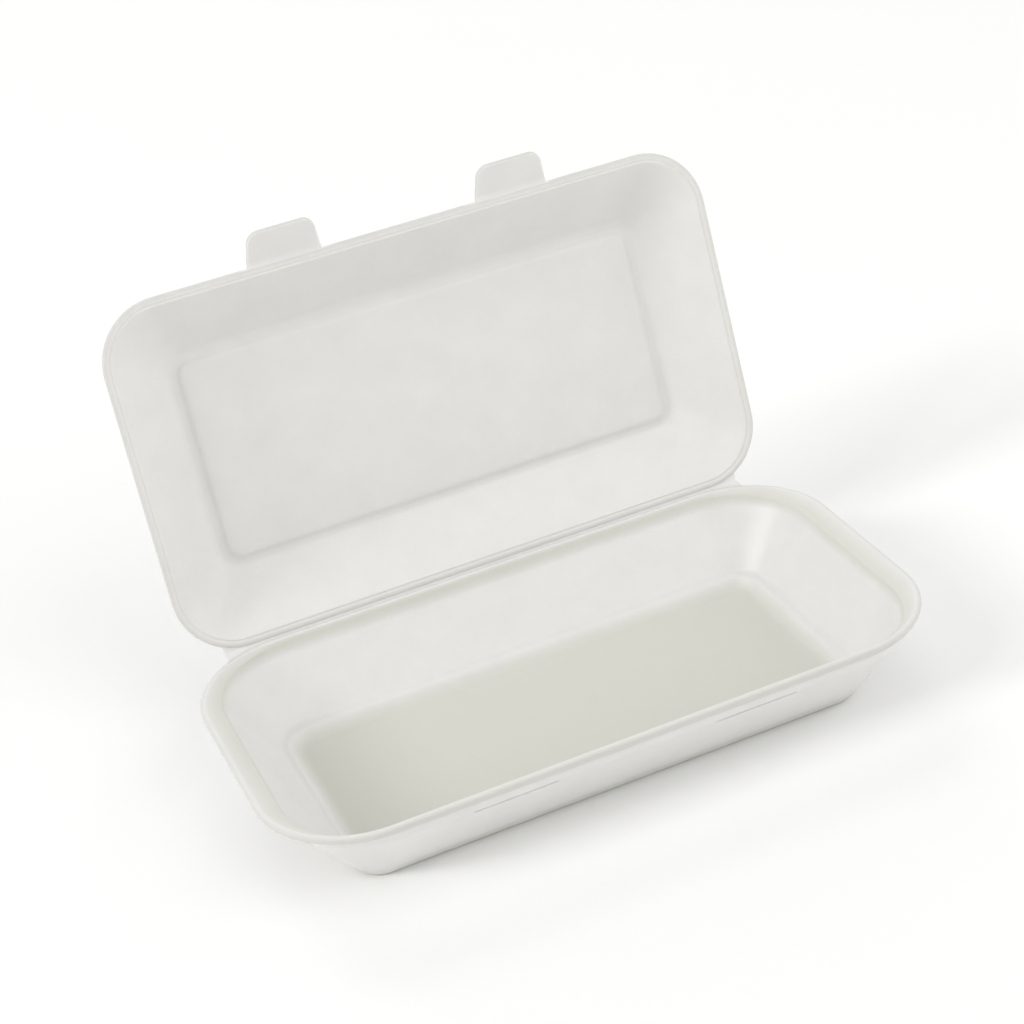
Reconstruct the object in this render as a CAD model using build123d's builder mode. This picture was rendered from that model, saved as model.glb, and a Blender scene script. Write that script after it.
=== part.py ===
from build123d import *
from math import cos, hypot, radians, sin, sqrt
import os

# Foam clamshell food box, moulded from one sheet and folded along a pressed hinge line.
# X runs along the hinge, Y from the front edge to the hinge, Z up from the underside of the base.

# Base tray
base_length = 240.0
base_width = 126.7
base_height = 34.0
base_corner = 35.0
rim_land = 2.0
rim_edge = 2.0
rim_overhang = 1.2
rim_chamfer = 0.5
seat_drop = 1.6
seat_depth = 5.0
seat_step = 0.9
seat_end = 8.8
seat_side = 3.5
seat_corner = 29.0
wall_thickness = 2.2
floor_length = 178.5
floor_width = 77.5
floor_corner = 7.0
floor_thickness = 3.6
foot_height = 4.5
foot_flare = 3.25
foot_toe = 2.4
foot_corner = 8.5
ledge_width = 2.75
ledge_rise = 0.4

# Lid
lid_length = 229.3
lid_width = 128.0
lid_corner = 23.0
lid_lip = 3.2
lid_flare = 20.3
lid_depth = 18.0
lid_thickness = 1.8
crown_chamfer = 1.5
panel_corner = 9.0
panel_rise = 1.2
panel_chamfer = 0.4
channel_width = 3.0
channel_step = 1.5

# Hinge
open_angle = 106.2
hinge_gap = 0.15
lid_clearance = 0.2
hinge_web = 0.7
hinge_bevel = 1.5
hinge_notch = 12.6
hinge_lap = 0.4

# Closing tabs on the lid and the slits that take them in the front wall of the base
tab_count = 2
tab_width = 27.5
tab_length = 13.6
tab_corner = 5.0
tab_side_angle = 82.0
tab_bend = 25.0
tab_pitch = 86.0
slit_drop = 7.0
slit_height = 0.6
slit_clearance = 1.0
slit_reach = 14.0

# The inside of the base: a floor in a shallow step, a ledge, flared walls, the seat of the lid and the rim
step_level = floor_thickness + foot_height
ledge_level = step_level + ledge_rise
ledge_reach = foot_flare + ledge_width
seat_level = base_height - seat_depth
flange_level = base_height - seat_drop
rim_reach_x = (base_length - floor_length) / 2
rim_reach_y = (base_width - floor_width) / 2
seat_reach_x = rim_reach_x - seat_end
seat_reach_y = rim_reach_y - seat_side
base_inside = [
    (floor_thickness, 0, 0, floor_corner),
    (step_level, foot_flare, foot_flare, floor_corner + foot_flare),
    (ledge_level, ledge_reach, ledge_reach, floor_corner + ledge_reach),
    (seat_level, seat_reach_x, seat_reach_y, seat_corner),
    (flange_level, seat_reach_x + seat_step, seat_reach_y + seat_step, seat_corner + seat_step),
    (base_height, rim_reach_x - rim_land, rim_reach_y - rim_land, base_corner - rim_land),
]

# The outside follows the inside at the thickness of the foam
foot_slope = foot_flare / foot_height
foot_shift = wall_thickness * hypot(foot_slope, 1)
wall_rise = seat_level - ledge_level
slope_x = (seat_reach_x - ledge_reach) / wall_rise
slope_y = (seat_reach_y - ledge_reach) / wall_rise
shift_x = wall_thickness * hypot(slope_x, 1)
shift_y = wall_thickness * hypot(slope_y, 1)
under_step = step_level - wall_thickness
under_ledge = ledge_level - wall_thickness
under_seat = seat_level - wall_thickness + ledge_rise
under_flange = flange_level - wall_thickness
foot_reach = foot_shift - foot_slope * floor_thickness + foot_toe
step_reach = foot_reach + foot_slope * under_step
under_ledge_x = ledge_reach + shift_x - slope_x * wall_thickness
under_ledge_y = ledge_reach + shift_y - slope_y * wall_thickness
under_seat_x = under_ledge_x + slope_x * (under_seat - under_ledge)
under_seat_y = under_ledge_y + slope_y * (under_seat - under_ledge)
under_flange_x = under_ledge_x + slope_x * (under_flange - under_ledge)
under_flange_y = rim_reach_y - rim_overhang
rim_face_x = rim_reach_x - rim_chamfer
rim_face_y = rim_reach_y - rim_chamfer
base_outside = [
    (0, foot_reach, foot_reach, foot_corner),
    (under_step, step_reach, step_reach, foot_corner + step_reach - foot_reach),
    (under_ledge, under_ledge_x, under_ledge_y, foot_corner + under_ledge_x - foot_reach),
    (under_seat, under_seat_x, under_seat_y, seat_corner + under_seat_x - seat_reach_x),
    (under_flange, under_flange_x, under_flange_y, seat_corner + under_flange_x - seat_reach_x),
    (base_height - rim_edge, rim_face_x, rim_face_y, base_corner - rim_chamfer),
    (base_height - rim_edge + rim_chamfer, rim_reach_x, rim_reach_y, base_corner),
    (base_height - rim_chamfer, rim_reach_x, rim_reach_y, base_corner),
    (base_height, rim_face_x, rim_face_y, base_corner - rim_chamfer),
]

hinge_y = base_width / 2 + hinge_gap
hinge_end = min(base_length, lid_length) / 2 - hinge_notch


# A plane through a line along X, with its Y away from the hinge and its Z towards the food
def leaf_plane(origin, angle):
    return Plane(
        origin=origin,
        x_dir=(1, 0, 0),
        z_dir=(0, -sin(radians(angle)), -cos(radians(angle))),
    )


# The +X half of a rounded rectangle, drawn from the middle of its long side
def half_section(plane, centre, length, width, corner):
    with BuildSketch(plane) as section:
        with BuildLine():
            FilletPolyline(
                (0, centre - width / 2),
                (length / 2, centre - width / 2),
                (length / 2, centre + width / 2),
                (0, centre + width / 2),
                radius=corner,
            )
            Line((0, centre + width / 2), (0, centre - width / 2))
        make_face()
    return section.sketch


# The thin sheet at both ends of the hinge, between the hinge line and the rounded corners of a leaf
def hinge_strip(plane, back, towards, length, corner):
    start = length / 2 - corner
    drop = corner - sqrt(corner**2 - (hinge_end - start) ** 2)
    with BuildSketch(plane) as strip:
        with BuildLine():
            Polyline(
                (start, back),
                (hinge_end, back),
                (hinge_end, back + towards * (drop + hinge_lap)),
                (start, back + towards * hinge_lap),
                close=True,
            )
        make_face()
        mirror(about=Plane.YZ)
    return strip.sketch


def base_sections(profile):
    return [
        half_section(
            Plane.XY.offset(level), 0, floor_length + 2 * reach_x, floor_width + 2 * reach_y, corner
        )
        for level, reach_x, reach_y, corner in profile
    ]


with BuildPart() as base_tray:
    loft(base_sections(base_outside), ruled=True)
    loft(base_sections(base_inside), ruled=True, mode=Mode.SUBTRACT)
    mirror(about=Plane.YZ)
    # Slits in the front wall, below the rim
    with Locations((0, -base_width / 2, base_height - slit_drop)):
        with GridLocations(tab_pitch, 0, tab_count, 1):
            Box(tab_width + 2 * slit_clearance, slit_reach, slit_height, mode=Mode.SUBTRACT)
    rim_plane = Plane.XY.offset(base_height)
    extrude(hinge_strip(rim_plane, base_width / 2, -1, base_length, base_corner), amount=-hinge_web)
    # Groove pressed under the back rim, which leaves a thin web at the hinge line
    with BuildSketch(Plane.YZ):
        with BuildLine():
            Polyline(
                (hinge_y, base_height - hinge_web),
                (hinge_y, base_height - rim_edge),
                (hinge_y - hinge_bevel, base_height - rim_edge),
                close=True,
            )
        make_face()
    extrude(amount=base_length / 2, both=True, mode=Mode.SUBTRACT)

lid_plane = leaf_plane((0, hinge_y, base_height), open_angle)
lid_axis = Axis(lid_plane.origin, -lid_plane.z_dir)
lid_centre = hinge_gap + lid_width / 2
lid_front = hinge_gap + lid_width
lip_top = lid_clearance + lid_thickness
panel_level = lid_clearance + lid_depth
crown_level = panel_level + lid_thickness
mouth_length = lid_length - 2 * lid_lip
mouth_width = lid_width - 2 * lid_lip
mouth_corner = lid_corner - lid_lip
panel_length = mouth_length - 2 * lid_flare
panel_width = mouth_width - 2 * lid_flare
lid_slope = lid_flare / lid_depth
lid_shift = lid_thickness * (hypot(lid_slope, 1) - lid_slope)
shoulder_level = crown_level - crown_chamfer
shoulder_shift = lid_shift + lid_slope * crown_chamfer
field_length = panel_length - 2 * channel_width
field_width = panel_width - 2 * channel_width
field_corner = panel_corner - channel_width
tab_plane = leaf_plane(lid_plane.from_local_coords((0, lid_front, -lip_top)), open_angle - tab_bend)


def lid_section(level, length, width, corner, grow):
    return half_section(
        lid_plane.offset(-level), lid_centre, length + 2 * grow, width + 2 * grow, corner + grow
    )


with BuildPart() as lid:
    # Flat lip, then the walls that slope up to the crown
    extrude(lid_section(lid_clearance, lid_length, lid_width, lid_corner, 0), amount=-lid_thickness)
    loft(
        [
            lid_section(lip_top, mouth_length, mouth_width, mouth_corner, lid_shift),
            lid_section(shoulder_level, panel_length, panel_width, panel_corner, shoulder_shift),
            lid_section(crown_level, panel_length, panel_width, panel_corner, lid_shift - crown_chamfer),
        ],
        ruled=True,
    )
    loft(
        [
            lid_section(lid_clearance, mouth_length, mouth_width, mouth_corner, 0),
            lid_section(panel_level, panel_length, panel_width, panel_corner, 0),
        ],
        ruled=True,
        mode=Mode.SUBTRACT,
    )
    mirror(about=Plane.YZ)
    # The crown's middle sits lower than its edge, which leaves a channel round the inside
    with BuildSketch(lid_plane.offset(-panel_level)):
        with Locations((0, lid_centre)):
            RectangleRounded(field_length, field_width, field_corner)
    extrude(amount=panel_rise)
    chamfer(lid.edges(Select.LAST).group_by(lid_axis)[0], panel_chamfer)
    with BuildSketch(lid_plane.offset(-crown_level)):
        with Locations((0, lid_centre)):
            RectangleRounded(
                field_length - 2 * channel_step,
                field_width - 2 * channel_step,
                field_corner - channel_step,
            )
    extrude(amount=panel_rise, mode=Mode.SUBTRACT)
    # Closing tabs, bent towards the base
    with BuildSketch(tab_plane) as tab_outline:
        with GridLocations(tab_pitch, 0, tab_count, 1):
            Trapezoid(tab_width, tab_length, tab_side_angle, align=(Align.CENTER, Align.MIN))
        fillet(tab_outline.vertices().group_by(Axis.Y)[-1], tab_corner)
    extrude(amount=lid_thickness)
    lip_plane = lid_plane.offset(-lid_clearance)
    extrude(hinge_strip(lip_plane, hinge_gap, 1, lid_length, lid_corner), amount=-hinge_web)
    # Groove pressed along the outer back edge, which leaves a thin web at the hinge line
    with BuildSketch(Plane(origin=lid_plane.origin, x_dir=lid_plane.y_dir, z_dir=(1, 0, 0))):
        with BuildLine():
            Polyline(
                (hinge_gap, -lid_clearance - hinge_web),
                (hinge_gap, -lip_top),
                (hinge_gap + hinge_bevel, -lip_top),
                close=True,
            )
        make_face()
    extrude(amount=lid_length / 2, both=True, mode=Mode.SUBTRACT)

base_tray.part.label = "base_tray"
lid.part.label = "lid"

os.makedirs("parts", exist_ok=True)
export_step(base_tray.part, "parts/base_tray.step")
export_step(lid.part, "parts/lid.step")
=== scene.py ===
import bpy
import bmesh
from math import cos, hypot, pi, radians, sin, sqrt
from mathutils import Matrix, Quaternion, Vector
from mathutils.kdtree import KDTree


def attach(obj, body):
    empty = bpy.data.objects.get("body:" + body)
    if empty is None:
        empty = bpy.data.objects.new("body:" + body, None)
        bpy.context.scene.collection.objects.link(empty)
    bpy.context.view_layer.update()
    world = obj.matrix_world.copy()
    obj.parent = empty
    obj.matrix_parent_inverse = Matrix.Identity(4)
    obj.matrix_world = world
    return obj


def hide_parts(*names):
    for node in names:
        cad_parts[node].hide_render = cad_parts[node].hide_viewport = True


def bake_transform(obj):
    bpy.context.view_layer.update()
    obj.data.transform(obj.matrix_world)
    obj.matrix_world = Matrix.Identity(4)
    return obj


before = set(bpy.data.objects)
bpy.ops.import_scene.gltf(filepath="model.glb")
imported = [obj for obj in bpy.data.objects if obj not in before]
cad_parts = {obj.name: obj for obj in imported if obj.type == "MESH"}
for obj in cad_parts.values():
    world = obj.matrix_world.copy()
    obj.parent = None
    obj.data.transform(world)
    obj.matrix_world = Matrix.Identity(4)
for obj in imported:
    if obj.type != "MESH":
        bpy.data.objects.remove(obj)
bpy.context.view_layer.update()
mm = 0.001
print("frame loaded:", ", ".join(sorted(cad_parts)))


def toLinear(hexColour):  # sRGB hex to linear RGBA
    parts = [int(hexColour[i:i + 2], 16) / 255 for i in (1, 3, 5)]
    return tuple(c / 12.92 if c <= 0.04045 else ((c + 0.055) / 1.055) ** 2.4 for c in parts) + (1.0,)


def addNode(tree, kind, links=None, **settings):
    node = tree.nodes.new(kind)
    for name, value in settings.items():
        setattr(node, name, value)
    for socket, source in (links or {}).items():
        if isinstance(source, bpy.types.NodeSocket):
            tree.links.new(source, node.inputs[socket])
        else:
            node.inputs[socket].default_value = source
    return node


def addObject(name, data):
    piece = bpy.data.objects.new(name, data)
    bpy.context.collection.objects.link(piece)
    return piece


# Expanded polystyrene sheet, pressed hot between two dies. The skin is white and satin, the light goes
# a few millimetres into it, and the closed cells show as a fine grain with slow clouds in it.
# Where the die cut the sheet, at the rim and the lip, the cells are open and the edge is duller. The cut
# edges are painted darker, in part for the open cells, in part as painted shade along the rim's outer edge.
# The base's floor and the seat under its rim are pressed hardest: the cells are flatter there, so they
# are duller. They and the lid's crease are painted a little darker and warmer: painted shade for these
# recesses.
foamSkin = {
    "white": "#E9E8E6",
    "cloud": "#E1E0DE",
    # painted shade: the darker, warmer colour of the floor, the seat and the lid's crease
    "pressed": "#D8D8CF",
    # in part painted shade: the darker colour of the cut edges, with the shade line along the rim's outer
    # edge
    "cutEdgeAndShade": "#D3D2CD",
    "cellSize": 0.9,       # mm, real cells are near 0.3 and would not show
    "cutCellSize": 1.4,    # mm
    "cloudSize": 14.0,     # mm
    "streakSize": 3.5,     # mm across, the rolled sheet's faint lines
    "streakStretch": 0.05,
    "cellDepth": 0.03,     # mm
    "cutDepth": 0.05,      # mm
    "sheen": (0.37, 0.41),  # roughness, from the shiniest streak to the dullest
    "pressedRoughness": 0.6,
    "cutRoughness": 0.75,
    "ior": 1.5,
    "glow": 2.5,           # mm, how far light spreads in the foam
    "glowShare": 0.45,
    "glowTint": (1.0, 0.97, 0.9),
}


def makeFoam(look):
    mat = bpy.data.materials.new("expanded_polystyrene_pressed_skin")
    mat.use_nodes = True
    tree = mat.node_tree
    tree.nodes.clear()
    place = addNode(tree, "ShaderNodeTexCoord").outputs["Object"]
    # mask of the cut edges, which also carries painted shade along the rim's outer edge
    cutAndShade = addNode(tree, "ShaderNodeAttribute", attribute_name="cutEdgeAndShade").outputs["Fac"]
    # mask of the pressed places, which also carries the painted shade of the floor, the seat and the lid's
    # crease
    pressedAndShadedMask = addNode(tree, "ShaderNodeAttribute", attribute_name="pressed").outputs["Fac"]

    clouds = addNode(tree, "ShaderNodeTexNoise", {
        "Vector": place, "Scale": 1 / (look["cloudSize"] * mm), "Detail": 3.0, "Roughness": 0.6})
    colour = addNode(tree, "ShaderNodeMix", {
        "Factor": clouds.outputs["Fac"], 6: toLinear(look["white"]), 7: toLinear(look["cloud"])},
        data_type="RGBA")
    # painted shade: darker and warmer on the floor, the seat and the lid's crease
    colour = addNode(tree, "ShaderNodeMix", {
        "Factor": pressedAndShadedMask, 6: colour.outputs[2], 7: toLinear(look["pressed"])}, data_type="RGBA")
    # darker cut edges, in part painted shade along the rim's outer edge
    colour = addNode(tree, "ShaderNodeMix", {
        "Factor": cutAndShade, 6: colour.outputs[2], 7: toLinear(look["cutEdgeAndShade"])}, data_type="RGBA")

    stretched = addNode(tree, "ShaderNodeMapping", {
        "Vector": place, "Scale": (look["streakStretch"], 1.0, 1.0)})
    streaks = addNode(tree, "ShaderNodeTexNoise", {
        "Vector": stretched.outputs[0], "Scale": 1 / (look["streakSize"] * mm), "Detail": 2.0})
    sheen = addNode(tree, "ShaderNodeMapRange", {
        "Value": streaks.outputs["Fac"], "From Min": 0.3, "From Max": 0.7,
        "To Min": look["sheen"][0], "To Max": look["sheen"][1]})
    rough = addNode(tree, "ShaderNodeMix", {
        "Factor": pressedAndShadedMask, 2: sheen.outputs[0], 3: look["pressedRoughness"]})
    rough = addNode(tree, "ShaderNodeMix", {"Factor": cutAndShade, 2: rough.outputs[0], 3: look["cutRoughness"]})

    cells = addNode(tree, "ShaderNodeTexVoronoi", {"Vector": place, "Scale": 1 / (look["cellSize"] * mm)})
    openCells = addNode(tree, "ShaderNodeTexVoronoi", {
        "Vector": place, "Scale": 1 / (look["cutCellSize"] * mm)})
    grain = addNode(tree, "ShaderNodeBump", {
        "Strength": 1.0, "Distance": look["cellDepth"] * mm, "Height": cells.outputs["Distance"]})
    opened = addNode(tree, "ShaderNodeBump", {
        "Strength": cutAndShade, "Distance": look["cutDepth"] * mm, "Height": openCells.outputs["Distance"],
        "Normal": grain.outputs[0]})

    shader = addNode(tree, "ShaderNodeBsdfPrincipled", {
        "Base Color": colour.outputs[2], "Roughness": rough.outputs[0], "IOR": look["ior"],
        "Normal": opened.outputs[0], "Subsurface Weight": look["glowShare"],
        "Subsurface Radius": look["glowTint"], "Subsurface Scale": look["glow"] * mm})
    addNode(tree, "ShaderNodeOutputMaterial", {"Surface": shader.outputs[0]})
    return mat


foam = makeFoam(foamSkin)
print("material ready:", foam.name)

seamMerge = 0.00001     # m, where a ring's two ends meet
poleMerge = 0.000005    # m, where the rings close up in the middle
samePlace = 0.000001    # m
sharpAngle = radians(48)


# A station is (half length, half width, level, corner radius, bend radius, finish), in mm.
# Its finish is 1 where the sheet was cut and is painted darker, -1 where it is pressed hardest and painted
# with shade, and 0 elsewhere.
# Every point of a ring is linear in a station's first four, so a bend is a curve between stations.
def roundBends(stations, steps=6, most=0.48):  # a bend takes less than half of the run beside it
    def reach(p, q):
        return hypot(max(abs(p[0] - q[0]), abs(p[1] - q[1])), p[2] - q[2])

    def between(p, q, t):
        return tuple(a + (b - a) * t for a, b in zip(p, q))

    path = []
    for i, here in enumerate(stations):
        bend = here[4]
        if i in (0, len(stations) - 1) or not bend:
            path.append(here)
            continue
        before, after = stations[i - 1], stations[i + 1]
        start = between(here, before, min(most, bend / reach(here, before)))
        end = between(here, after, min(most, bend / reach(here, after)))
        for k in range(steps + 1):
            t = k / steps
            path.append(between(between(start, here, t), between(here, end, t), t))
    return path


def fillSpans(path, span):  # no stretch between two stations longer than span
    filled = [path[0]]
    for a, b in zip(path, path[1:]):
        gap = hypot(max(abs(a[0] - b[0]), abs(a[1] - b[1])), a[2] - b[2])
        count = max(1, int(gap / span + 0.5))
        for k in range(1, count + 1):
            filled.append(tuple(p + (q - p) * k / count for p, q in zip(a, b)))
    return filled


# the finish sets painted shade too: darker cut edges, and darker, warmer pressed places
def storeFinishAndShade(mesh, finishAndShade):
    for name, sign in (("cutEdgeAndShade", 1), ("pressed", -1)):
        layer = mesh.attributes.get(name) or mesh.attributes.new(name, "FLOAT", "POINT")
        layer.data.foreach_set("value", [max(0.0, sign * f) for f in finishAndShade])


def stationLine(name, path):
    mesh = bpy.data.meshes.new(name)
    mesh.from_pydata(
        [(p[0] * mm, p[1] * mm, p[2] * mm) for p in path],
        [(i, i + 1) for i in range(len(path) - 1)], [])
    corner = mesh.attributes.new("corner", "FLOAT", "POINT")
    corner.data.foreach_set("value", [p[3] * mm for p in path])
    storeFinishAndShade(mesh, [p[5] for p in path])
    return addObject(name, mesh)


# Lays a rounded-rectangle ring over every station of the line it is put on, and skins the rings
def makeShellTree():
    tree = bpy.data.node_groups.new("mouldedShell", "GeometryNodeTree")
    face = tree.interface
    face.new_socket("Stations", in_out="INPUT", socket_type="NodeSocketGeometry")
    face.new_socket("Corner steps", in_out="INPUT", socket_type="NodeSocketInt")
    face.new_socket("Side steps", in_out="INPUT", socket_type="NodeSocketInt")
    face.new_socket("Lean", in_out="INPUT", socket_type="NodeSocketFloat")
    face.new_socket("Place", in_out="INPUT", socket_type="NodeSocketVector")
    face.new_socket("Foam", in_out="INPUT", socket_type="NodeSocketMaterial")
    face.new_socket("Shell", in_out="OUTPUT", socket_type="NodeSocketGeometry")
    given = addNode(tree, "NodeGroupInput").outputs

    def calc(operation, a, b=0.0, c=0.0):
        return addNode(tree, "ShaderNodeMath", {0: a, 1: b, 2: c}, operation=operation).outputs[0]

    # a grid with one column for each ring point and one row for each station
    counts = addNode(tree, "GeometryNodeAttributeDomainSize", {"Geometry": given["Stations"]}).outputs
    rows = counts["Point Count"]
    lastRow = calc("SUBTRACT", rows, 1.0)
    quarter = calc("ADD", given["Corner steps"], given["Side steps"])
    around = calc("MULTIPLY", quarter, 4.0)
    grid = addNode(tree, "GeometryNodeMeshGrid", {
        "Size X": around, "Size Y": lastRow,
        "Vertices X": calc("ADD", around, 1.0), "Vertices Y": rows}).outputs["Mesh"]
    position = addNode(tree, "GeometryNodeInputPosition").outputs[0]
    spot = addNode(tree, "ShaderNodeSeparateXYZ", {0: position}).outputs
    column = calc("ROUND", calc("MULTIPLY_ADD", around, 0.5, spot["X"]))
    row = calc("ROUND", calc("MULTIPLY_ADD", lastRow, 0.5, spot["Y"]))

    # the station of this row
    station = addNode(tree, "GeometryNodeSampleIndex", {
        "Geometry": given["Stations"], "Value": position, "Index": row},
        data_type="FLOAT_VECTOR", domain="POINT").outputs[0]
    size = addNode(tree, "ShaderNodeSeparateXYZ", {0: station}).outputs
    sampled = {}
    for name in ("corner", "cutEdgeAndShade", "pressed"):
        stored = addNode(tree, "GeometryNodeInputNamedAttribute", {"Name": name}, data_type="FLOAT")
        sampled[name] = addNode(tree, "GeometryNodeSampleIndex", {
            "Geometry": given["Stations"], "Value": stored.outputs["Attribute"], "Index": row},
            data_type="FLOAT", domain="POINT").outputs[0]

    # the place on the ring: a quarter is one corner arc and then one straight side
    turn = calc("FLOOR", calc("DIVIDE", column, quarter))
    inQuarter = calc("MULTIPLY_ADD", calc("MULTIPLY", turn, quarter), -1.0, column)
    onArc = calc("DIVIDE", calc("MINIMUM", inQuarter, given["Corner steps"]), given["Corner steps"])
    pastArc = calc("MAXIMUM", calc("SUBTRACT", inQuarter, given["Corner steps"]), 0.0)
    onSide = calc("DIVIDE", pastArc, given["Side steps"])
    angle = calc("MULTIPLY", calc("ADD", turn, onArc), pi / 2)
    thisCorner = calc("MULTIPLY", calc("ADD", turn, 0.5), pi / 2)
    nextCorner = calc("ADD", thisCorner, pi / 2)

    def along(wave, half):
        near = calc("MULTIPLY", calc(wave, thisCorner), sqrt(2))
        far = calc("MULTIPLY", calc(wave, nextCorner), sqrt(2))
        core = calc("MULTIPLY_ADD", calc("SUBTRACT", far, near), onSide, near)
        straight = calc("MULTIPLY", core, calc("SUBTRACT", half, sampled["corner"]))
        return calc("MULTIPLY_ADD", calc(wave, angle), sampled["corner"], straight)

    point = addNode(tree, "ShaderNodeCombineXYZ", {
        0: along("COSINE", size["X"]), 1: along("SINE", size["Y"]), 2: size["Z"]}).outputs[0]
    shell = grid
    for name in ("cutEdgeAndShade", "pressed"):
        shell = addNode(tree, "GeometryNodeStoreNamedAttribute", {
            "Geometry": shell, "Name": name, "Value": sampled[name]},
            data_type="FLOAT", domain="POINT").outputs[0]
    shell = addNode(tree, "GeometryNodeSetPosition", {"Geometry": shell, "Position": point}).outputs[0]
    shell = addNode(tree, "GeometryNodeMergeByDistance", {
        "Geometry": shell, "Distance": seamMerge}).outputs[0]

    leaning = addNode(tree, "ShaderNodeCombineXYZ", {0: given["Lean"]}).outputs[0]
    shell = addNode(tree, "GeometryNodeTransform", {
        "Geometry": shell, "Translation": given["Place"], "Rotation": leaning}).outputs[0]
    shell = addNode(tree, "GeometryNodeSetShadeSmooth", {"Geometry": shell, "Shade Smooth": True}).outputs[0]
    shell = addNode(tree, "GeometryNodeRealizeInstances", {"Geometry": shell}).outputs[0]
    shell = addNode(tree, "GeometryNodeSetMaterial", {
        "Geometry": shell, "Material": given["Foam"]}).outputs[0]
    addNode(tree, "NodeGroupOutput", {"Shell": shell})
    return tree


def growMesh(holder, tree, values):
    mod = holder.modifiers.new(tree.name, "NODES")
    mod.node_group = tree
    ids = {s.name: s.identifier for s in tree.interface.items_tree if s.in_out == "INPUT"}
    for name, value in values.items():
        mod[ids[name]] = value
    seen = holder.evaluated_get(bpy.context.evaluated_depsgraph_get())
    mesh = bpy.data.meshes.new_from_object(seen)
    holder.modifiers.remove(mod)
    return mesh


def faceOut(mesh):
    bm = bmesh.new()
    bm.from_mesh(mesh)
    bmesh.ops.remove_doubles(bm, verts=bm.verts, dist=poleMerge)
    bmesh.ops.recalc_face_normals(bm, faces=bm.faces)
    bm.to_mesh(mesh)
    bm.free()
    mesh.set_sharp_from_angle(angle=sharpAngle)


def skinRings(name, bm, rings):  # a closed body through a row of rings
    for a, b in zip(rings, rings[1:]):
        for k in range(len(a)):
            n = (k + 1) % len(a)
            bm.faces.new((a[k], a[n], b[n], b[k]))
    bm.faces.new(rings[0])
    bm.faces.new(rings[-1])
    bmesh.ops.recalc_face_normals(bm, faces=bm.faces)
    for each in bm.faces:
        each.smooth = True
    mesh = bpy.data.meshes.new(name)
    bm.to_mesh(mesh)
    bm.free()
    return mesh


# The boolean mixes up the finish and painted shade of its points, so each one takes back what it had. New
# points have none.
def runBoolean(piece, other, operation):
    mod = piece.modifiers.new(operation.lower(), "BOOLEAN")
    mod.operation = operation
    mod.solver = "EXACT"
    mod.object = other
    mesh = bpy.data.meshes.new_from_object(piece.evaluated_get(bpy.context.evaluated_depsgraph_get()))
    piece.modifiers.remove(mod)
    sources = (piece.data, other.data)
    nearest, finishAndShade = KDTree(sum(len(m.vertices) for m in sources)), []
    for each in sources:
        cutAndShade, pressed = each.attributes["cutEdgeAndShade"].data, each.attributes["pressed"].data
        for v in each.vertices:
            nearest.insert(v.co, len(finishAndShade))
            finishAndShade.append(cutAndShade[v.index].value - pressed[v.index].value)
    nearest.balance()
    found = [nearest.find(v.co) for v in mesh.vertices]
    storeFinishAndShade(mesh, [finishAndShade[index] if away < samePlace else 0.0 for co, index, away in found])
    piece.data = mesh
    bpy.data.objects.remove(other)


shellTree = makeShellTree()
print("shell tree ready:", len(shellTree.nodes), "nodes")

# Hinge line, in mm: the sheet is pressed thin on both sides of it
hinge = {
    "y": 63.5, "z": 34.0, "open": 106.2, "web": 0.7, "bevel": 1.5,
    "halfLength": 102.05, "grip": 1.3, "skin": 0.1, "radius": 0.75,
    "foldInside": 0.12, "reachInside": 0.3, "reachOutside": 0.4, "blendReach": 0.6,
    "steps": 102, "foldSteps": 8, "sharpAngle": 60.0,
}
hingePoint = Vector((0, hinge["y"], hinge["z"]))
lean = radians(180 - hinge["open"])
leaves = {  # along the leaf away from the hinge, and out of the food side
    "base": (Vector((0, -1, 0)), Vector((0, 0, -1))),
    "lid": (Vector((0, cos(lean), sin(lean))), Vector((0, sin(lean), -cos(lean)))),
}


def pressHinge(mesh, leaf, clear, thick):
    along, out = leaves[leaf]
    for vert in mesh.vertices:
        off = vert.co / mm - hingePoint
        near, deep = off.dot(along), off.dot(out)
        limit = clear + hinge["web"] + (thick - hinge["web"]) * near / hinge["bevel"]
        if near < hinge["bevel"] and deep > limit:
            vert.co -= out * (deep - limit) * mm


# Base tray, in mm
tray = {
    "length": 240.0, "width": 126.7, "height": 34.0, "corner": 35.0,
    "rimLand": 2.0, "rimEdge": 2.0, "rimOverhang": 1.2, "rimBend": 0.9,
    "seatDrop": 1.6, "seatDepth": 5.0, "seatStep": 0.9, "seatEnd": 8.8, "seatSide": 3.5, "seatCorner": 29.0,
    # the flange and land press values also paint shade on the seat under the rim
    "seatBend": 1.4, "flangeBend": 0.8, "flangePressAndShade": 0.9, "landPressAndShade": 0.3,
    "wall": 2.2, "wallBend": 2.2, "underBend": 1.2,
    "floorLength": 178.5, "floorWidth": 77.5, "floorCorner": 7.0, "floorThick": 3.6,
    "footHeight": 4.5, "footFlare": 3.25, "footToe": 2.4, "footCorner": 8.5, "footBend": 1.8,
    "ledgeWidth": 2.75, "ledgeRise": 0.4, "ledgeBend": 1.3, "stepBend": 1.2,
    "slitPitch": 86.0, "slitLength": 29.5, "slitHeight": 0.3, "slitDrop": 7.0, "slitReach": 14.0,
    "cornerSteps": 16, "sideSteps": 24, "span": 3.0,
}


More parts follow.
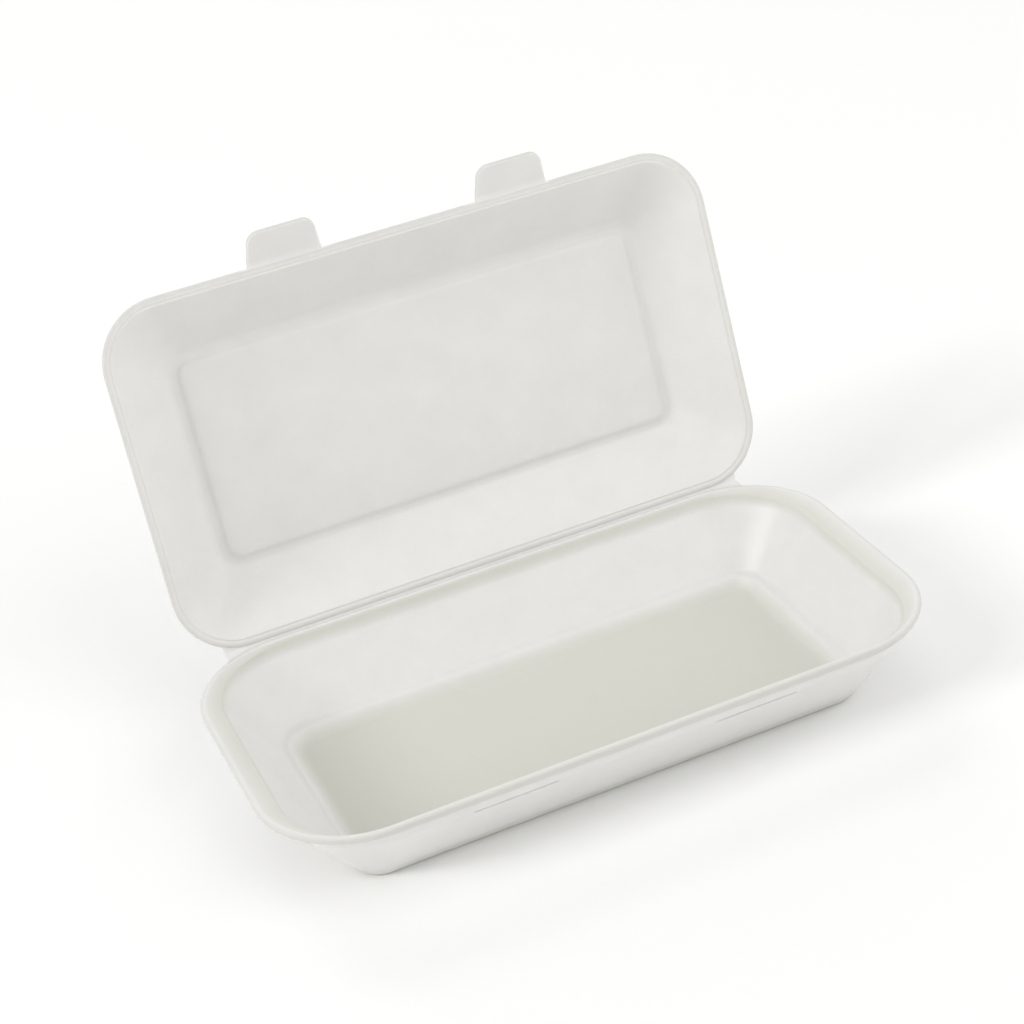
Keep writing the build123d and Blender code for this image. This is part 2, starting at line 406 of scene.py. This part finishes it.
def trayStations(t):
    halfX, halfY = t["floorLength"] / 2, t["floorWidth"] / 2
    rimX, rimY = t["length"] / 2, t["width"] / 2
    stepLevel = t["floorThick"] + t["footHeight"]
    ledgeLevel = stepLevel + t["ledgeRise"]
    seatLevel = t["height"] - t["seatDepth"]
    flangeLevel = t["height"] - t["seatDrop"]
    ledge = t["footFlare"] + t["ledgeWidth"]
    seatX, seatY = rimX - t["seatEnd"], rimY - t["seatSide"]
    rise = seatLevel - ledgeLevel
    slopeX, slopeY = (seatX - halfX - ledge) / rise, (seatY - halfY - ledge) / rise
    wall, bend, fold, under = t["wall"], t["wallBend"], t["rimBend"], t["underBend"]
    flare, rim, land = t["footFlare"], t["seatStep"], t["rimLand"]
    inside = [
        (halfX - halfY, 0, t["floorThick"], 0, 0, -1),
        (halfX, halfY, t["floorThick"], t["floorCorner"], bend, -1),
        (halfX + flare, halfY + flare, stepLevel, t["floorCorner"] + flare, t["stepBend"], 0),
        (halfX + ledge, halfY + ledge, ledgeLevel, t["floorCorner"] + ledge, t["ledgeBend"], 0),
        (seatX, seatY, seatLevel, t["seatCorner"], t["seatBend"], 0),
        # the seat's flange and the land's inner edge are painted with shade, along with the pressing
        (seatX + rim, seatY + rim, flangeLevel, t["seatCorner"] + rim, t["flangeBend"], -t["flangePressAndShade"]),
        (rimX - land, rimY - land, t["height"], t["corner"] - land, t["flangeBend"], -t["landPressAndShade"]),
        (rimX, rimY, t["height"], t["corner"], fold, 1),
    ]
    footSlope = t["footFlare"] / t["footHeight"]
    foot = wall * hypot(footSlope, 1) - footSlope * t["floorThick"] + t["footToe"]
    underStep, underLedge = stepLevel - wall, ledgeLevel - wall
    step = foot + footSlope * underStep
    underX = halfX + ledge + wall * (hypot(slopeX, 1) - slopeX)
    underY = halfY + ledge + wall * (hypot(slopeY, 1) - slopeY)
    underSeat = seatLevel - wall + t["ledgeRise"]
    underFlange = flangeLevel - wall
    outX, outY = underX + slopeX * (underSeat - underLedge), underY + slopeY * (underSeat - underLedge)
    flangeX = underX + slopeX * (underFlange - underLedge)
    outside = [
        (rimX, rimY, t["height"] - t["rimEdge"], t["corner"], fold, 1),
        (flangeX, rimY - t["rimOverhang"], underFlange, t["seatCorner"] + flangeX - seatX, under, 0),
        (outX, outY, underSeat, t["seatCorner"] + outX - seatX, under, 0),
        (underX, underY, underLedge, t["footCorner"] + underX - halfX - foot, bend, 0),
        (halfX + step, halfY + step, underStep, t["footCorner"] + step - foot, under, 0),
        (halfX + foot, halfY + foot, 0, t["footCorner"], t["footBend"], -1),
        (halfX - halfY, 0, 0, 0, 0, -1),
    ]
    return inside + outside


def makeSlits(t):  # two blades that cut the slits for the closing tabs
    bm = bmesh.new()
    for side in (-0.5, 0.5):
        middle = Vector((side * t["slitPitch"], -t["width"] / 2, t["height"] - t["slitDrop"])) * mm
        size = Vector((t["slitLength"], t["slitReach"], t["slitHeight"])) * mm
        bmesh.ops.create_cube(bm, matrix=Matrix.LocRotScale(middle, None, size))
    mesh = bpy.data.meshes.new("slitBlades")
    bm.to_mesh(mesh)
    bm.free()
    storeFinishAndShade(mesh, [1.0] * len(mesh.vertices))
    return addObject("slitBlades", mesh)


def makeTray(t):
    line = stationLine("trayLine", fillSpans(roundBends(trayStations(t)), t["span"]))
    mesh = growMesh(line, shellTree, {
        "Corner steps": t["cornerSteps"], "Side steps": t["sideSteps"],
        "Lean": 0.0, "Place": (0.0, 0.0, 0.0), "Foam": foam})
    bpy.data.objects.remove(line)
    faceOut(mesh)
    pressHinge(mesh, "base", 0.0, t["rimEdge"])
    piece = addObject("foam_base_tray", mesh)
    runBoolean(piece, makeSlits(t), "DIFFERENCE")
    piece.data.set_sharp_from_angle(angle=sharpAngle)
    return piece


baseTray = makeTray(tray)
print("base tray:", len(baseTray.data.polygons), "faces")

# Lid, in mm, along and out from the hinge
cover = {
    "length": 229.3, "width": 128.0, "corner": 23.0, "lip": 3.2, "flare": 20.3, "depth": 18.0, "thick": 1.8,
    "gap": 0.15, "clear": 0.2, "crownBend": 2.6, "panelCorner": 9.0, "panelRise": 1.2, "panelBend": 2.4,
    "channel": 3.0, "channelSlope": 1.8, "channelStep": 1.5, "lipBend": 0.8, "mouthBend": 0.9,
    # the crease's press value also paints shade into the crease in the lip
    "crease": 0.35, "creaseWidth": 1.2, "creaseBend": 0.35, "creaseEdgeBend": 0.5, "creasePressAndShade": 0.5,
    "fieldBend": 1.6, "channelBend": 1.0, "underBend": 1.6, "recessBend": 0.6, "recessSlope": 0.4,
    "cornerSteps": 16, "sideSteps": 24, "span": 3.0,
}


def coverStations(c):
    lipX, lipY = c["length"] / 2, c["width"] / 2
    mouthX, mouthY, mouthR = lipX - c["lip"], lipY - c["lip"], c["corner"] - c["lip"]
    panelX, panelY = mouthX - c["flare"], mouthY - c["flare"]
    fieldX, fieldY, fieldR = panelX - c["channel"], panelY - c["channel"], c["panelCorner"] - c["channel"]
    face, panel = -c["clear"], -c["clear"] - c["depth"]
    slope = c["flare"] / c["depth"]
    shift = c["thick"] * (hypot(slope, 1) - slope)
    crown, recess = panel - c["thick"], panel - c["thick"] + c["panelRise"]
    ease, crease, middle = c["channelSlope"], c["creaseWidth"], c["creaseWidth"] / 2
    top, low = c["channelStep"], c["channelStep"] + c["recessSlope"]
    return [
        (fieldX - fieldY, 0, panel + c["panelRise"], 0, 0, 0),
        (fieldX - ease, fieldY - ease, panel + c["panelRise"], fieldR - ease, c["fieldBend"], 0),
        (fieldX, fieldY, panel, fieldR, c["channelBend"], 0),
        (panelX, panelY, panel, c["panelCorner"], c["panelBend"], 0),
        (mouthX, mouthY, face, mouthR, c["mouthBend"], 0),
        # the crease in the lip is painted with shade, along with the pressing
        (mouthX + middle, mouthY + middle, face - c["crease"], mouthR + middle,
            c["creaseBend"], -c["creasePressAndShade"]),
        (mouthX + crease, mouthY + crease, face, mouthR + crease, c["creaseEdgeBend"], 0),
        (lipX, lipY, face, c["corner"], c["lipBend"], 1),
        (lipX, lipY, face - c["thick"], c["corner"], c["lipBend"], 1),
        (mouthX + shift, mouthY + shift, face - c["thick"], mouthR + shift, c["underBend"], 0),
        (panelX + shift, panelY + shift, crown, c["panelCorner"] + shift, c["crownBend"], 0),
        (fieldX - top, fieldY - top, crown, fieldR - top, c["recessBend"], 0),
        (fieldX - low, fieldY - low, recess, fieldR - low, c["recessBend"], 0),
        (fieldX - fieldY, 0, recess, 0, 0, 0),
    ]


def makeCover(c):
    place = (hingePoint + leaves["lid"][0] * (c["gap"] + c["width"] / 2)) * mm
    line = stationLine("coverLine", fillSpans(roundBends(coverStations(c)), c["span"]))
    mesh = growMesh(line, shellTree, {
        "Corner steps": c["cornerSteps"], "Side steps": c["sideSteps"],
        "Lean": lean, "Place": place, "Foam": foam})
    bpy.data.objects.remove(line)
    faceOut(mesh)
    pressHinge(mesh, "lid", c["clear"], c["thick"])
    return addObject("foam_lid", mesh)


lid = makeCover(cover)
print("lid:", len(lid.data.polygons), "faces")

# Closing tabs on the front lip, in mm
tabs = {
    "count": 2, "pitch": 86.0, "width": 27.5, "length": 13.2, "corner": 5.0, "sideAngle": 82.0,
    "bend": 25.0, "bendOver": 3.0, "root": 1.4, "slack": 0.05, "edgeBend": 0.5,
    "cutDeep": 0.9, "cutPast": 0.6,     # shares of the edge's rounding that count as cut
    "columns": 18, "rows": 14, "tipSteps": 14, "edgeSteps": 3,
}


# Sets the piece it is put on at even steps along the hinge direction
def makeRepeatTree():
    tree = bpy.data.node_groups.new("tabsInARow", "GeometryNodeTree")
    face = tree.interface
    face.new_socket("Tab", in_out="INPUT", socket_type="NodeSocketGeometry")
    face.new_socket("Count", in_out="INPUT", socket_type="NodeSocketInt")
    face.new_socket("Pitch", in_out="INPUT", socket_type="NodeSocketFloat")
    face.new_socket("Foam", in_out="INPUT", socket_type="NodeSocketMaterial")
    face.new_socket("Tabs", in_out="OUTPUT", socket_type="NodeSocketGeometry")
    given = addNode(tree, "NodeGroupInput").outputs
    gaps = addNode(tree, "ShaderNodeMath", {0: given["Count"], 1: 1.0}, operation="SUBTRACT").outputs[0]
    span = addNode(tree, "ShaderNodeMath", {0: gaps, 1: given["Pitch"]}, operation="MULTIPLY").outputs[0]
    first = addNode(tree, "ShaderNodeMath", {0: span, 1: -0.5}, operation="MULTIPLY").outputs[0]
    row = addNode(tree, "GeometryNodeMeshLine", {
        "Count": given["Count"],
        "Start Location": addNode(tree, "ShaderNodeCombineXYZ", {0: first}).outputs[0],
        "Offset": addNode(tree, "ShaderNodeCombineXYZ", {0: given["Pitch"]}).outputs[0]}).outputs[0]
    copies = addNode(tree, "GeometryNodeInstanceOnPoints", {
        "Points": row, "Instance": given["Tab"]}).outputs[0]
    real = addNode(tree, "GeometryNodeRealizeInstances", {"Geometry": copies}).outputs[0]
    done = addNode(tree, "GeometryNodeSetMaterial", {"Geometry": real, "Material": given["Foam"]}).outputs[0]
    addNode(tree, "NodeGroupOutput", {"Tabs": done})
    return tree


def tabRows(t):  # (distance from the root, half width), with the tip's corners rounded
    taper = cos(radians(t["sideAngle"])) / sin(radians(t["sideAngle"]))
    start = t["length"] - t["corner"]
    side = t["width"] / 2 - taper * start
    rows = [(-t["root"], t["width"] / 2)]
    for k in range(t["rows"]):
        reach = start * k / t["rows"]
        rows.append((reach, t["width"] / 2 - taper * reach))
    for k in range(t["tipSteps"] + 1):
        turn = pi / 2 * k / t["tipSteps"]
        rows.append((start + t["corner"] * sin(turn), side - t["corner"] * (1 - cos(turn))))
    return rows


def tabRing(t, half, deep):  # a cut across the tab, with rounded edges
    bend = min(t["edgeBend"], deep)
    ring = []
    for quarter, (right, up) in enumerate(((1, 1), (-1, 1), (-1, -1), (1, -1))):
        for k in range(t["edgeSteps"] + 1):
            turn = pi / 2 * (quarter + k / t["edgeSteps"])
            ring.append((right * (half - bend) + bend * cos(turn), up * (deep - bend) + bend * sin(turn)))
        if quarter in (0, 2):
            for k in range(1, t["columns"]):
                ring.append((right * (half - bend) * (1 - 2 * k / t["columns"]), up * deep))
    return ring


def makeTabs(t, c):
    along, out = leaves["lid"]
    here = hingePoint + along * (c["gap"] + c["width"] - t["root"]) + out * (c["clear"] + c["thick"] / 2)
    last, full, bend = -t["root"], c["thick"] / 2 - t["slack"], t["edgeBend"]
    bm = bmesh.new()
    rings, finishAndShade = [], []
    for reach, half in tabRows(t):
        share = min(1.0, max(0.0, reach / t["bendOver"]))
        turn = radians(t["bend"]) * share * share * (3 - 2 * share)
        facing = out * cos(turn) + along * sin(turn)
        here = here + (along * cos(turn) - out * sin(turn)) * (reach - last)
        last = reach
        past = min(bend, max(0.0, reach - t["length"] + bend))
        deep = full - bend + sqrt(bend ** 2 - past ** 2)
        ring = tabRing(t, half, deep)
        rings.append([bm.verts.new((here + facing * d + Vector((u, 0, 0))) * mm) for u, d in ring])
        tip = past > t["cutPast"] * bend
        finishAndShade += [1.0 if tip or abs(d) < t["cutDeep"] * deep else 0.0 for u, d in ring]
    mesh = skinRings("oneTab", bm, rings)
    storeFinishAndShade(mesh, finishAndShade)
    one = addObject("oneTab", mesh)
    row = growMesh(one, makeRepeatTree(), {"Count": t["count"], "Pitch": t["pitch"] * mm, "Foam": foam})
    bpy.data.objects.remove(one)
    return addObject("closingTabs", row)


runBoolean(lid, makeTabs(tabs, cover), "UNION")
lid.data.set_sharp_from_angle(angle=sharpAngle)
print("lid with its tabs:", len(lid.data.polygons), "faces")


# The web of foam that is left at the hinge line, bent round it. Past the straight part of the hinge
# it reaches on to the rounded corners of both leaves, and ends in a notch.
def cornerDrop(x, leaf):  # how far a leaf's corner has left the hinge line
    past = max(0.0, abs(x) - leaf["length"] / 2 + leaf["corner"])
    return leaf["corner"] - sqrt(leaf["corner"] ** 2 - past ** 2)


def webSection(x, h, t, c):
    baseAlong, baseOut = leaves["base"]
    lidAlong, lidOut = leaves["lid"]
    baseGrip, lidGrip = h["grip"] + cornerDrop(x, t), h["grip"] + cornerDrop(x, c)
    skin, thin, folds = h["skin"], h["radius"], h["foldSteps"]
    section = [
        baseAlong * baseGrip + baseOut * skin,
        baseAlong * h["reachInside"] + baseOut * skin,
        (baseOut + lidOut) * h["foldInside"],
        lidAlong * h["reachInside"] + lidOut * (c["clear"] + skin),
        lidAlong * lidGrip + lidOut * (c["clear"] + skin),
        lidAlong * lidGrip + lidOut * (c["clear"] + thin),
        lidAlong * h["reachOutside"] + lidOut * (c["clear"] + thin),
    ]
    for k in range(folds + 1):
        away = thin + c["clear"] * (1 - k / folds)
        section.append((lidOut * (folds - k) + baseOut * k).normalized() * away)
    section += [
        baseAlong * h["reachOutside"] + baseOut * thin,
        baseAlong * baseGrip + baseOut * thin,
    ]
    return [hingePoint + p + Vector((x, 0, 0)) for p in section]


def makeWeb(h, t, c):
    bm = bmesh.new()
    rings = []
    for k in range(h["steps"] + 1):
        x = h["halfLength"] * (2 * k / h["steps"] - 1)
        rings.append([bm.verts.new(p * mm) for p in webSection(x, h, t, c)])
    mesh = skinRings("foam_hinge_web", bm, rings)
    mesh.materials.append(foam)
    mesh.set_sharp_from_angle(angle=radians(h["sharpAngle"]))
    return addObject("foam_hinge_web", mesh)


web = makeWeb(hinge, tray, cover)
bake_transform(web)
print("hinge web:", len(web.data.polygons), "faces")

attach(baseTray, "base")
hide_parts("base_tray")
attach(lid, "lid")
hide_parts("lid")

# Floor, lamps and camera
studio = {
    "floorSize": 20.0,
    "floorColour": "#FBFBFA",
    "floorRoughness": 0.9,
    "floorGloss": 0.1,
    "lamps": [
        # name, where it stands (m), size (m), watts
        ("keyLeft", (-3.67, -0.16, 2.10), 1.05, 48.8),
        ("highLeft", (-3.06, -0.96, 2.76), 0.6, 14.4),
        ("front", (1.61, -2.76, 2.76), 2.7, 39.6),
        ("fillRight", (3.84, -0.65, 1.63), 2.7, 27.4),
        ("back", (0.00, 3.47, 2.47), 2.7, 40.2),
        ("top", (0.00, -0.70, 4.20), 2.7, 15.7),
    ],
    "aim": (0.0, 0.03, 0.06),
    "sky": "#FFFFFF",
    "skyStrength": 0.5,
}


def makeStudio(s):
    mesh = bpy.data.meshes.new("floor")
    half = s["floorSize"] / 2
    corners = [(-half, -half, 0), (half, -half, 0), (half, half, 0), (-half, half, 0)]
    mesh.from_pydata(corners, [], [(0, 1, 2, 3)])
    floor = addObject("floor", mesh)
    paper = bpy.data.materials.new("matt_white_paper_sweep")
    paper.use_nodes = True
    shader = paper.node_tree.nodes["Principled BSDF"]
    shader.inputs["Base Color"].default_value = toLinear(s["floorColour"])
    shader.inputs["Roughness"].default_value = s["floorRoughness"]
    shader.inputs["Specular IOR Level"].default_value = s["floorGloss"]
    mesh.materials.append(paper)
    for name, stand, size, watts in s["lamps"]:
        lamp = bpy.data.lights.new(name, "AREA")
        lamp.size = size
        lamp.energy = watts
        holder = addObject(name, lamp)
        holder.location = stand
        holder.rotation_euler = (Vector(s["aim"]) - Vector(stand)).to_track_quat("-Z", "Y").to_euler()
    world = bpy.data.worlds.new("pale_studio")
    world.use_nodes = True
    sky = world.node_tree.nodes["Background"]
    sky.inputs["Color"].default_value = toLinear(s["sky"])
    sky.inputs["Strength"].default_value = s["skyStrength"]
    bpy.context.scene.world = world


makeStudio(studio)

shot = {
    "stand": (-215.2, -617.1, 463.1),   # mm
    "aim": (4.15, 40.0, 66.3),          # mm
    "roll": -9.17,                      # degrees
    "lens": 80.14,                      # mm
    "frameWidth": 36.0,                 # mm
    "nearest": 0.01,                    # m
}


def makeCamera(s):
    view = bpy.data.cameras.new("photo_view")
    view.lens = s["lens"]
    view.sensor_width = s["frameWidth"]
    view.clip_start = s["nearest"]
    camera = addObject("photo_view", view)
    look = (Vector(s["aim"]) - Vector(s["stand"])).to_track_quat("-Z", "Y")
    camera.rotation_euler = (look @ Quaternion((0, 0, 1), radians(s["roll"]))).to_euler()
    camera.location = Vector(s["stand"]) * mm
    bpy.context.scene.camera = camera


makeCamera(shot)
bpy.context.scene.view_settings.view_transform = "Standard"
print("studio ready")
